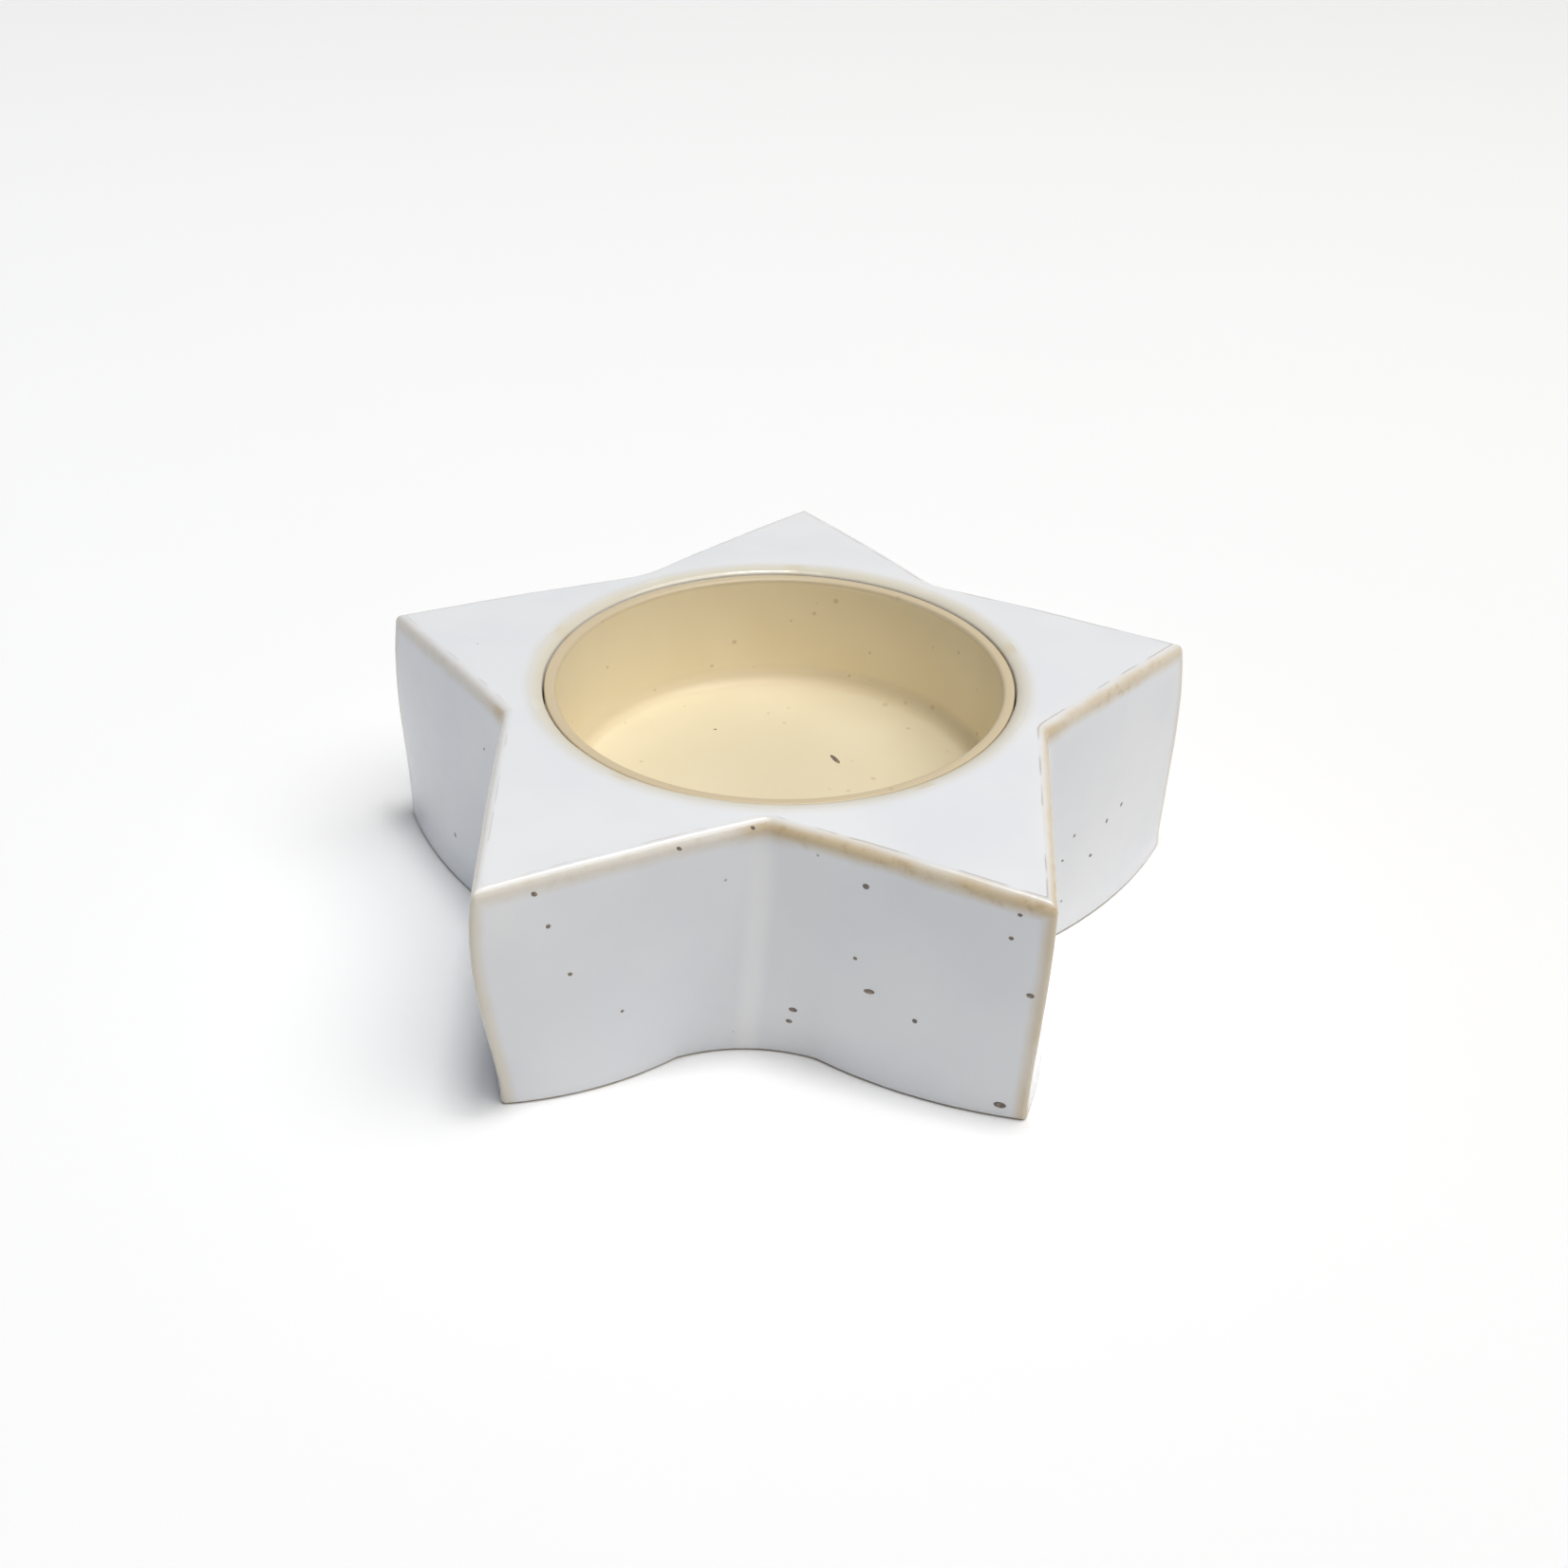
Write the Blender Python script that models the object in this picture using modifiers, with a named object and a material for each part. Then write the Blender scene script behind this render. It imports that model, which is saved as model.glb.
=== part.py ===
"""Star tealight holder: a hollow glazed star, the cup set in its mouth and the slab that closes its foot.

Metres, +Z up. The origin is on the cup's axis, in the plane the star stands on, and the back arm points to +Y.
"""

import math

import bmesh
import bpy
from mathutils import Vector

MM = 0.001

# The candle that the recess holds, and the cup round it
TEALIGHT_RADIUS = 19.0 * MM
TEALIGHT_PLAY = 0.35 * MM
CUP_WALL = 1.0 * MM
CUP_FLOOR = 2.5 * MM
CUP_HEEL_ROUND = 3.0 * MM
RECESS_DEPTH = 11.4 * MM
RECESS_FILLET = 1.9 * MM
LIP_DROP = 0.5 * MM
JOINT_GAP = 0.3 * MM

# The ring under the cup, which stands on the base slab
FOOT_RING_RADIUS = 13.0 * MM
FOOT_RING_WALL = 2.5 * MM
NOTCH_RADIUS = 1.5 * MM

# The star: its height at the mouth, the clay between mouth and valleys, and how far the arms stand out
HEIGHT = 23.6 * MM
VALLEY_RIM = 3.15 * MM
ARM_LENGTH = 14.7 * MM
TIP_DROP = 1.8 * MM
FOOT_SWELL = 1.0 * MM
WALL = 2.8 * MM
TOP_THICKNESS = 3.2 * MM

# Its rounded places
CROWN_RIM = 0.15 * MM
MOUTH_ROUND = 0.9 * MM
TOP_ROUND = 0.9 * MM
FOOT_ROUND = 0.4 * MM
HOLLOW_ROUND = 0.8 * MM
TIP_ROUND = 0.5 * MM
VALLEY_ROUND_FOOT = 14.0 * MM
LEAST_ROUND = 0.15 * MM

# The slab under it
BASE_THICKNESS = 3.0 * MM
BASE_ROUND = 0.4 * MM
VENT_RADIUS = 2.0 * MM
VENT_REACH = 19.0 * MM

# A star shaped by hand is a little uneven. For each arm: its name, degrees the tip is turned from even spacing,
# how far the tip stands out at the top, how far it comes in at the foot, and how far its edge swells between
ARMS = (
    ("back", -1.2, 0.7 * MM, 1.0 * MM, 0.4 * MM),
    ("left", -0.7, 0.0 * MM, 0.1 * MM, 0.5 * MM),
    ("front_left", 2.1, 0.6 * MM, 1.9 * MM, 1.0 * MM),
    ("front_right", -0.5, 0.0 * MM, 1.4 * MM, 0.2 * MM),
    ("right", -0.4, 0.0 * MM, 0.1 * MM, 0.5 * MM),
)
# And for the valley after each arm, going anticlockwise: how far it stands out at the top, how far it comes in
# at the foot, degrees its foot is turned, and its rounding at the top
VALLEYS = (
    (0.0 * MM, 1.0 * MM, 0.0, 7.0 * MM),
    (0.5 * MM, 0.2 * MM, 0.0, 1.5 * MM),
    (-0.5 * MM, 2.2 * MM, -4.0, 1.5 * MM),
    (0.2 * MM, -0.5 * MM, 0.0, 1.5 * MM),
    (-0.2 * MM, 1.0 * MM, 0.0, 4.0 * MM),
)

# How finely the curves are cut
TURNED_STEPS = 72
TIP_STEPS = 3
VALLEY_STEPS = 6
EDGE_STEPS = 4
WALL_STEPS = 6
ROUND_STEPS = 3
OVERSHOOT = 2.0 * MM

CUP_BORE = TEALIGHT_RADIUS + TEALIGHT_PLAY
CUP_RADIUS = CUP_BORE + CUP_WALL
MOUTH_RADIUS = CUP_RADIUS + JOINT_GAP
CROWN_RADIUS = MOUTH_RADIUS + MOUTH_ROUND + CROWN_RIM
VALLEY_REACH = MOUTH_RADIUS + VALLEY_RIM
TIP_REACH = VALLEY_REACH + ARM_LENGTH
RECESS_FLOOR = HEIGHT - RECESS_DEPTH
CUP_UNDERSIDE = RECESS_FLOOR - CUP_FLOOR
BASE_TOP = BASE_THICKNESS


def clear_scene():
    for obj in list(bpy.data.objects):
        bpy.data.objects.remove(obj, do_unlink=True)


def collection(name):
    made = bpy.data.collections.new(name)
    bpy.context.scene.collection.children.link(made)
    return made


def material(name, colour, roughness):
    made = bpy.data.materials.new(name)
    made.use_nodes = True
    shader = made.node_tree.nodes["Principled BSDF"]
    shader.inputs["Base Color"].default_value = (*colour, 1.0)
    shader.inputs["Roughness"].default_value = roughness
    shader.inputs["Metallic"].default_value = 0.0
    return made


def add_object(name, mesh, group):
    made = bpy.data.objects.new(name, mesh)
    group.objects.link(made)
    return made


def polar(reach, bearing):
    return Vector((reach * math.cos(bearing), reach * math.sin(bearing)))


def arc(centre_x, centre_z, radius, start, end, steps):
    """Points of an arc in a turned profile, from start to end in degrees."""
    angles = [math.radians(start + (end - start) * step / steps) for step in range(steps + 1)]
    return [(centre_x + radius * math.cos(a), centre_z + radius * math.sin(a)) for a in angles]


def star_corners(lift, fullness):
    """The ten corners, a tip and then the valley after it, at lift 0 for the foot to 1 for the top."""
    found = []
    for place, (arm, valley) in enumerate(zip(ARMS, VALLEYS)):
        _, turn, tip_out, tip_in, belly = arm
        valley_out, valley_in, foot_turn, _ = valley
        swell = fullness * belly * 6.75 * lift**2 * (1 - lift)
        tip_reach = TIP_REACH + tip_out - tip_in * (1 - lift) + swell
        valley_reach = VALLEY_REACH + valley_out - valley_in * (1 - lift)
        bearing = math.radians(90 + 360 * place / len(ARMS))
        half_spacing = math.pi / len(ARMS)
        found.append(polar(tip_reach, bearing + math.radians(turn)))
        found.append(polar(valley_reach, bearing + half_spacing + math.radians(foot_turn * (1 - lift))))
    return found


def towards_neighbours(corners, place):
    """Unit vectors from a corner to the one before and the one after, and half the angle between them."""
    here = corners[place]
    before = (corners[place - 1] - here).normalized()
    after = (corners[(place + 1) % len(corners)] - here).normalized()
    return before, after, before.angle(after) / 2


def inset_corners(corners, inset):
    """The corners of the outline that lies this far inside every edge."""
    moved = []
    for place, here in enumerate(corners):
        before, after, half_angle = towards_neighbours(corners, place)
        inwards = 1 if place % 2 == 0 else -1
        moved.append(here + (before + after).normalized() * inwards * inset / math.sin(half_angle))
    return moved


def rounded_corner(corners, place, radius, steps):
    before, after, half_angle = towards_neighbours(corners, place)
    half_sweep = math.pi / 2 - half_angle
    centre = corners[place] + (before + after).normalized() * radius / math.sin(half_angle)
    middle = (corners[place] - centre).normalized()
    # A tip's arc turns anticlockwise and a valley's turns clockwise
    hand = 1 if place % 2 == 0 else -1
    points = []
    for step in range(steps + 1):
        swing = hand * half_sweep * (2 * step / steps - 1)
        spoke = Vector(
            (
                middle.x * math.cos(swing) - middle.y * math.sin(swing),
                middle.x * math.sin(swing) + middle.y * math.cos(swing),
            )
        )
        points.append(centre + spoke * radius)
    return points


def star_outline(lift, inset, fullness=0.0):
    """The star's rounded outline at a height, this far inside its outer face. Every outline has as many points.

    At fullness 1 the tips' edges swell between foot and top, and the walls swell at the foot.
    """
    corners = inset_corners(star_corners(lift, fullness), inset)
    tip_round = max(TIP_ROUND - inset, LEAST_ROUND)
    turns = []
    for place, (*_, round_top) in enumerate(VALLEYS):
        valley_round = VALLEY_ROUND_FOOT + (round_top - VALLEY_ROUND_FOOT) * lift + inset
        turns.append(rounded_corner(corners, 2 * place, tip_round, TIP_STEPS))
        turns.append(rounded_corner(corners, 2 * place + 1, valley_round, VALLEY_STEPS))
    points = []
    for place, turn in enumerate(turns):
        points += turn
        edge_start, edge_end = turn[-1], turns[(place + 1) % len(turns)][0]
        along = (edge_end - edge_start).normalized()
        outwards = Vector((along.y, -along.x))
        for step in range(1, EDGE_STEPS):
            share = step / EDGE_STEPS
            swell = fullness * FOOT_SWELL * (1 - lift) * 4 * share * (1 - share)
            points.append(edge_start.lerp(edge_end, share) + outwards * swell)
    return points


def top_height(point):
    """The star's top is flat round the mouth and slopes down along each arm."""
    slope = TIP_DROP / (TIP_REACH - CROWN_RADIUS)
    return HEIGHT - slope * max(point.length - CROWN_RADIUS, 0)


def loft(name, rings):
    """A closed solid through rings of as many points each, from the lowest to the highest."""
    body = bmesh.new()
    rows = [[body.verts.new(point) for point in ring] for ring in rings]
    body.faces.new(reversed(rows[0]))
    body.faces.new(rows[-1])
    for low, high in zip(rows, rows[1:]):
        for place in range(len(low)):
            after = (place + 1) % len(low)
            body.faces.new((low[place], low[after], high[after], high[place]))
    mesh = bpy.data.meshes.new(name)
    body.to_mesh(mesh)
    body.free()
    return mesh


def flat_ring(lift, inset, height, fullness=0.0):
    return [(point.x, point.y, height) for point in star_outline(lift, inset, fullness)]


def topped_rings(inset, sink, edge_round):
    """Rings up over a rounded edge to the crown, for a top that lies this far under the star's own."""
    rings = []
    for step in range(ROUND_STEPS + 1):
        angle = math.pi / 2 * step / ROUND_STEPS
        outline = star_outline(1, inset + edge_round * (1 - math.cos(angle)))
        dip = sink + edge_round * (1 - math.sin(angle))
        rings.append([(point.x, point.y, top_height(point) - dip) for point in outline])
    # The crown is a circle that stays inside the valleys, and the top is flat within it
    crown_radius = min(CROWN_RADIUS, min(point.length for point in outline) - CROWN_RIM)
    crown = [point.normalized() * crown_radius for point in outline]
    rings.append([(point.x, point.y, HEIGHT - sink) for point in crown])
    return rings


def bellied_rings(low, high):
    """Rings up the outer wall, at its full shape, between a low ring and a high one."""
    rings = []
    for step in range(1, WALL_STEPS):
        lift = step / WALL_STEPS
        outline = star_outline(lift, 0.0, 1.0)
        heights = [below[2] + (above[2] - below[2]) * lift for below, above in zip(low, high)]
        rings.append([(point.x, point.y, height) for point, height in zip(outline, heights)])
    return rings


def turned(name, profile, group):
    """A solid turned about Z, from a profile that runs down its outer side."""
    mesh = bpy.data.meshes.new(name)
    edges = [(place, place + 1) for place in range(len(profile) - 1)]
    mesh.from_pydata([(x, 0.0, z) for x, z in profile], edges, [])
    made = add_object(name, mesh, group)
    screw = made.modifiers.new("Turn", "SCREW")
    screw.steps = TURNED_STEPS
    screw.render_steps = TURNED_STEPS
    screw.use_merge_vertices = True
    screw.merge_threshold = 1e-5
    screw.use_smooth_shade = True
    return made


def cylinder(name, radius, length, location, group, turned_to_y=False):
    mesh = bpy.data.meshes.new(name)
    body = bmesh.new()
    bmesh.ops.create_cone(
        body, cap_ends=True, segments=24, radius1=radius, radius2=radius, depth=length
    )
    body.to_mesh(mesh)
    body.free()
    made = add_object(name, mesh, group)
    made.location = location
    if turned_to_y:
        made.rotation_euler.x = math.pi / 2
    return made


def cut(obj, cutter):
    cutter.hide_render = True
    cutter.display_type = "WIRE"
    boolean = obj.modifiers.new(cutter.name, "BOOLEAN")
    boolean.operation = "DIFFERENCE"
    boolean.object = cutter


def smooth(obj):
    obj.data.shade_smooth()
    obj.data.set_sharp_from_angle(angle=math.radians(35))


def make_star_shell(parts, cutters):
    """A hollow star, open below, with a round mouth in its top."""
    foot = [flat_ring(0, FOOT_ROUND, 0.0, 1.0), flat_ring(0, 0.0, FOOT_ROUND, 1.0)]
    top = topped_rings(0.0, 0.0, TOP_ROUND)
    rings = foot + bellied_rings(foot[-1], top[0]) + top
    shell = add_object("star_shell", loft("star_shell", rings), parts)

    hollow_rings = [flat_ring(0, WALL, -OVERSHOOT), flat_ring(0, WALL, 0.0)]
    hollow_rings += topped_rings(WALL, TOP_THICKNESS, HOLLOW_ROUND)
    cut(shell, add_object("hollow", loft("hollow", hollow_rings), cutters))

    # The mouth's edge is rounded to just short of the flat top, so that the cutter crosses it cleanly
    edge = arc(MOUTH_RADIUS + MOUTH_ROUND, HEIGHT - MOUTH_ROUND, MOUTH_ROUND, 100, 180, ROUND_STEPS)
    bore_floor = CUP_UNDERSIDE - JOINT_GAP
    profile = [(0.0, HEIGHT + OVERSHOOT), (edge[0][0], HEIGHT + OVERSHOOT)]
    profile += edge
    profile += [(MOUTH_RADIUS, bore_floor), (0.0, bore_floor)]
    cut(shell, turned("mouth", profile, cutters))
    smooth(shell)
    return shell


def make_tealight_cup(parts, cutters):
    """The recess itself: a turned cup whose foot ring stands on the base slab."""
    lip = arc(CUP_BORE + CUP_WALL / 2, HEIGHT - LIP_DROP - CUP_WALL / 2, CUP_WALL / 2, 180, 0, 4)
    fillet = arc(CUP_BORE - RECESS_FILLET, RECESS_FLOOR + RECESS_FILLET, RECESS_FILLET, -90, 0, 4)
    heel = arc(CUP_RADIUS - CUP_HEEL_ROUND, CUP_UNDERSIDE + CUP_HEEL_ROUND, CUP_HEEL_ROUND, 0, -90, 4)
    ring_inside = FOOT_RING_RADIUS - FOOT_RING_WALL
    ring_foot = BASE_TOP + JOINT_GAP
    profile = [(0.0, RECESS_FLOOR)] + fillet + lip + heel
    profile += [(FOOT_RING_RADIUS, CUP_UNDERSIDE), (FOOT_RING_RADIUS, ring_foot)]
    profile += [(ring_inside, ring_foot), (ring_inside, CUP_UNDERSIDE), (0.0, CUP_UNDERSIDE)]
    cup = turned("tealight_cup", profile, parts)

    # A notch in the ring lets the air under the cup out to the vent
    middle = FOOT_RING_RADIUS - FOOT_RING_WALL / 2
    length = FOOT_RING_WALL + 2 * OVERSHOOT
    notch = cylinder("notch", NOTCH_RADIUS, length, (0.0, middle, ring_foot), cutters, turned_to_y=True)
    cut(cup, notch)
    return cup


def make_base_plate(parts, cutters):
    """The slab that closes the foot, inside the walls, with a vent hole under the back arm."""
    inset = WALL + JOINT_GAP
    top_lift = BASE_THICKNESS / HEIGHT
    rings = [
        flat_ring(0, inset + BASE_ROUND, 0.0),
        flat_ring(0, inset, BASE_ROUND),
        flat_ring(top_lift, inset, BASE_TOP - BASE_ROUND),
        flat_ring(top_lift, inset + BASE_ROUND, BASE_TOP),
    ]
    plate = add_object("base_plate", loft("base_plate", rings), parts)
    length = BASE_THICKNESS + 2 * OVERSHOOT
    vent = cylinder("vent", VENT_RADIUS, length, (0.0, VENT_REACH, BASE_THICKNESS / 2), cutters)
    cut(plate, vent)
    smooth(plate)
    return plate


def main():
    clear_scene()
    parts = collection("tealight_holder")
    cutters = collection("cutters")
    holder = add_object("tealight_holder", None, parts)
    pieces = (
        (make_star_shell(parts, cutters), material("white_glaze", (0.80, 0.81, 0.84), 0.22)),
        (make_tealight_cup(parts, cutters), material("cream_glaze", (0.74, 0.62, 0.39), 0.3)),
        (make_base_plate(parts, cutters), material("bare_stoneware", (0.58, 0.47, 0.34), 0.85)),
    )
    for piece, finish in pieces:
        piece.data.materials.append(finish)
        piece.parent = holder


main()
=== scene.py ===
# %% [markdown]
# # A star-shaped tealight holder in glazed stoneware
# This lesson dresses a measured CAD frame in the skin of the real pot: a hand-made hollow star in white glaze, a
# turned cup in cream glaze set into its mouth, and a bare clay slab that closes the foot. The frame is loaded
# first. Its box is written down, because everything made later has to stay inside it.

# %% Load the frame
import math

import bmesh
import bpy
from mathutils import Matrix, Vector
from mathutils.bvhtree import BVHTree


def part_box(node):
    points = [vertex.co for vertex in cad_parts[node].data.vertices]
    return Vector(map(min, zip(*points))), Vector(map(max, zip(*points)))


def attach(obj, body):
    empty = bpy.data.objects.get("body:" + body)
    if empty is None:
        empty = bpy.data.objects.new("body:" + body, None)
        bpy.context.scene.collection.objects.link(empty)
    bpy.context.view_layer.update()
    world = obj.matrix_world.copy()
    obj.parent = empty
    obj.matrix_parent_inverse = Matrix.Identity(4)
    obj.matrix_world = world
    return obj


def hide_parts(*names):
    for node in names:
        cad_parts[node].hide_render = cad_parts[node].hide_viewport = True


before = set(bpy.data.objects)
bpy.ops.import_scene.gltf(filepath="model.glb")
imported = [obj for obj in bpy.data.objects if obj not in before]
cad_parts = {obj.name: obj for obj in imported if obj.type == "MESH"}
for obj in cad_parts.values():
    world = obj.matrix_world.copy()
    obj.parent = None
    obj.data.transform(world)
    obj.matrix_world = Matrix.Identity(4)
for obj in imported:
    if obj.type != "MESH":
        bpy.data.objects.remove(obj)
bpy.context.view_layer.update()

print("CAD nodes:", sorted(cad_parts))

# %% [markdown]
# ## Sizes
# A potter thinks in millimetres and Blender in metres, so sizes are kept in millimetres and multiplied by MM when
# a mesh is made. The height, the top of the cup's lip, its radius and the slab's thickness come from the frame
# itself. The others repeat the figures that the frame was made with.

# %% Sizes in millimetres
MM = 0.001

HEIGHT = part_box("star_shell")[1].z / MM
CUP_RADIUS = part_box("tealight_cup")[1].x / MM
LIP_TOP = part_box("tealight_cup")[1].z / MM
BASE_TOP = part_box("base_plate")[1].z / MM

JOINT_GAP = 0.3
FILLED_GAP = 0.03
MOUTH_RADIUS = CUP_RADIUS + JOINT_GAP
MOUTH_ROUND = 0.9
CROWN_RIM = 0.15
CROWN_RADIUS = MOUTH_RADIUS + MOUTH_ROUND + CROWN_RIM
VALLEY_RIM = 3.15
VALLEY_REACH = MOUTH_RADIUS + VALLEY_RIM
ARM_LENGTH = 14.7
TIP_REACH = VALLEY_REACH + ARM_LENGTH
TIP_DROP = 1.8
RIM_WIDTH = 1.25
RIM_DEPTH = 0.55
WALL = 2.8
TOP_THICKNESS = 3.2
TOP_ROUND = 0.9
FOOT_ROUND = 0.4
FOOT_SWELL = 1.0
TIP_ROUND = 0.5
LEAST_ROUND = 0.15
VALLEY_ROUND_FOOT = 14.0
RECESS_DEPTH = 11.4
RECESS_FLOOR = HEIGHT - RECESS_DEPTH

# Each arm: degrees its tip is turned, how far it stands out, comes in at the foot, and swells between
ARMS = (
    (-1.2, 0.7, 1.0, 0.4),
    (-0.7, 0.0, 0.1, 0.5),
    (2.1, 0.6, 1.9, 1.0),
    (-0.5, 0.0, 1.4, 0.2),
    (-0.4, 0.0, 0.1, 0.5),
)
# Each valley: how far it stands out, comes in at the foot, degrees its foot is turned, rounding at the top
VALLEYS = (
    (0.0, 1.0, 0.0, 7.0),
    (0.5, 0.2, 0.0, 1.5),
    (-0.5, 2.2, -4.0, 1.5),
    (0.2, -0.5, 0.0, 1.5),
    (-0.2, 1.0, 0.0, 4.0),
)
print(f"height {HEIGHT:.2f} mm, cup radius {CUP_RADIUS:.2f} mm, base {BASE_TOP:.2f} mm thick")

# %% [markdown]
# ## The star's outline
# A star is ten corners joined by edges: five tips far out and five valleys close in. An arc softens each corner,
# as in cut clay. One function gives the outline at any height, always with the same number of points, so that
# outlines can be stacked into walls.

# %% Outline of the star at a height
TIP_STEPS = 8
VALLEY_STEPS = 12
EDGE_STEPS = 28
# Brings lift**2 * (1 - lift) to 1 where it is largest, two thirds of the way up
BELLY_SCALE = 6.75


def polar(reach, bearing):
    return Vector((reach * math.cos(bearing), reach * math.sin(bearing)))


def star_corners(lift, fullness):
    """Tip, valley, tip, valley and so on, at lift 0 for the foot to 1 for the top."""
    corners = []
    for place, (arm, valley) in enumerate(zip(ARMS, VALLEYS)):
        turn, tip_out, tip_in, belly = arm
        valley_out, valley_in, foot_turn, _ = valley
        swell = fullness * belly * BELLY_SCALE * lift**2 * (1 - lift)
        bearing = math.radians(90 + 72 * place)
        tip_reach = TIP_REACH + tip_out - tip_in * (1 - lift) + swell
        corners.append(polar(tip_reach, bearing + math.radians(turn)))
        foot_bearing = bearing + math.radians(36 + foot_turn * (1 - lift))
        corners.append(polar(VALLEY_REACH + valley_out - valley_in * (1 - lift), foot_bearing))
    return corners


def corner_frame(corners, place):
    """The direction into the corner's angle, and half that angle."""
    here = corners[place]
    before = (corners[place - 1] - here).normalized()
    after = (corners[(place + 1) % len(corners)] - here).normalized()
    return (before + after).normalized(), before.angle(after) / 2


def rounded_corner(corners, place, radius, steps):
    into, half_angle = corner_frame(corners, place)
    half_sweep = math.pi / 2 - half_angle
    centre = corners[place] + into * radius / math.sin(half_angle)
    start = math.atan2(-into.y, -into.x)
    hand = 1 if place % 2 == 0 else -1
    swings = [hand * half_sweep * (2 * step / steps - 1) for step in range(steps + 1)]
    return [centre + polar(radius, start + swing) for swing in swings]


def star_outline(lift, inset=0.0, fullness=1.0):
    sharp = star_corners(lift, fullness)
    corners = []
    for place, here in enumerate(sharp):
        into, half_angle = corner_frame(sharp, place)
        corners.append(here + into * (1 if place % 2 == 0 else -1) * inset / math.sin(half_angle))
    turns = []
    for place, (*_, round_top) in enumerate(VALLEYS):
        valley_round = VALLEY_ROUND_FOOT + (round_top - VALLEY_ROUND_FOOT) * lift + inset
        turns.append(rounded_corner(corners, 2 * place, max(TIP_ROUND - inset, LEAST_ROUND), TIP_STEPS))
        turns.append(rounded_corner(corners, 2 * place + 1, valley_round, VALLEY_STEPS))
    points = []
    for place, turn in enumerate(turns):
        points += turn
        start, end = turn[-1], turns[(place + 1) % len(turns)][0]
        along = (end - start).normalized()
        outwards = Vector((along.y, -along.x))
        for step in range(1, EDGE_STEPS):
            share = step / EDGE_STEPS
            swell = fullness * FOOT_SWELL * (1 - lift) * 4 * share * (1 - share)
            points.append(start.lerp(end, share) + outwards * swell)
    return points


def top_height(point):
    """The top is flat round the mouth and slopes down along each arm."""
    return HEIGHT - TIP_DROP / (TIP_REACH - CROWN_RADIUS) * max(point.length - CROWN_RADIUS, 0)


AROUND = len(star_outline(1))
print("points round the star:", AROUND)

# %% [markdown]
# ## Where the glaze will thin
# Molten glaze pulls away from sharp edges, and the clay shows through tan. So that the material knows how near an
# edge is, each vertex carries its distances from the top edge, the nearest tip and valley, and the mouth as
# attributes. Measuring on the mesh is steadier than guessing edges in a shader.

# %% Distances along an outline
PER_ARM = AROUND // len(ARMS)
TIP_MIDDLES = [arm * PER_ARM + TIP_STEPS // 2 for arm in range(len(ARMS))]
VALLEY_MIDDLES = [middle + TIP_STEPS // 2 + EDGE_STEPS + VALLEY_STEPS // 2 for middle in TIP_MIDDLES]
EDGE_REACH = 25.0


def spacing_from(middles, outline):
    """Distance along the outline, in millimetres, from each point to the nearest of these places on it."""
    steps = [(outline[(place + 1) % AROUND] - outline[place]).length for place in range(AROUND)]
    reached = [EDGE_REACH] * AROUND
    for middle in middles:
        for direction in (1, -1):
            place, gone = middle, 0.0
            while gone < EDGE_REACH:
                reached[place] = min(reached[place], gone)
                gone += steps[place] if direction == 1 else steps[place - 1]
                place = (place + direction) % AROUND
    return reached


# How strongly the clay shows, from valley to valley: the left arm, the front left, the front right and the right,
# and then the back arm's right and left side
CLAY_SHOWS = (0.25, 0.25, 1.0, 0.75, 0.6, 0.25)
# How many outline points a full change from one value to the next would take
BLEND_STEPS = 16


def along_arms(values):
    """One value for each outline point: the arm's own, blended into the next arm's across the valley."""
    spread = []
    for place in range(AROUND):
        arm = sum(place >= middle for middle in VALLEY_MIDDLES) - 1
        behind = min((place - middle) % AROUND for middle in VALLEY_MIDDLES)
        ahead = min((middle - place) % AROUND for middle in VALLEY_MIDDLES)
        own, before, after = (values[(arm + step) % len(values)] for step in (0, -1, 1))
        neighbour, reach = (before, behind) if behind < ahead else (after, ahead)
        blend = max(0.0, 0.5 - reach / BLEND_STEPS)
        spread.append(own * (1 - blend) + neighbour * blend)
    return spread


print(f"an edge from tip to valley is {max(spacing_from(TIP_MIDDLES, star_outline(1))):.1f} mm long")

# %% [markdown]
# ## Stacking rings into a hollow star
# The wall is a stack of outlines, like coils of clay. The rings go over the top to the mouth, drop down the bore
# and come back under the arms to the foot, so the clay has real thickness and the surface is closed everywhere.
# Each ring holds its points and two distances for the glaze. The bore is a shade narrower than the frame's,
# because glaze has run into the joint round the cup.

# %% Rings of the star
BORE_RADIUS = CUP_RADIUS + FILLED_GAP
WALL_ROWS = 34
ROUND_ROWS = 7
TOP_ROWS = 16
FAR = 99.0
BORE_LENGTH = 14.0
BELOW_CEILING = 1.0
CLEAR_OF_MOUTH = 0.5


def ring(points, heights, top_edge=FAR, mouth=FAR):
    rows = [heights] * AROUND if isinstance(heights, (int, float)) else heights
    edge = [top_edge] * AROUND if isinstance(top_edge, (int, float)) else top_edge
    rim = [mouth] * AROUND if isinstance(mouth, (int, float)) else mouth
    return [(p.x, p.y, z, e, m) for p, z, e, m in zip(points, rows, edge, rim)]


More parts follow.
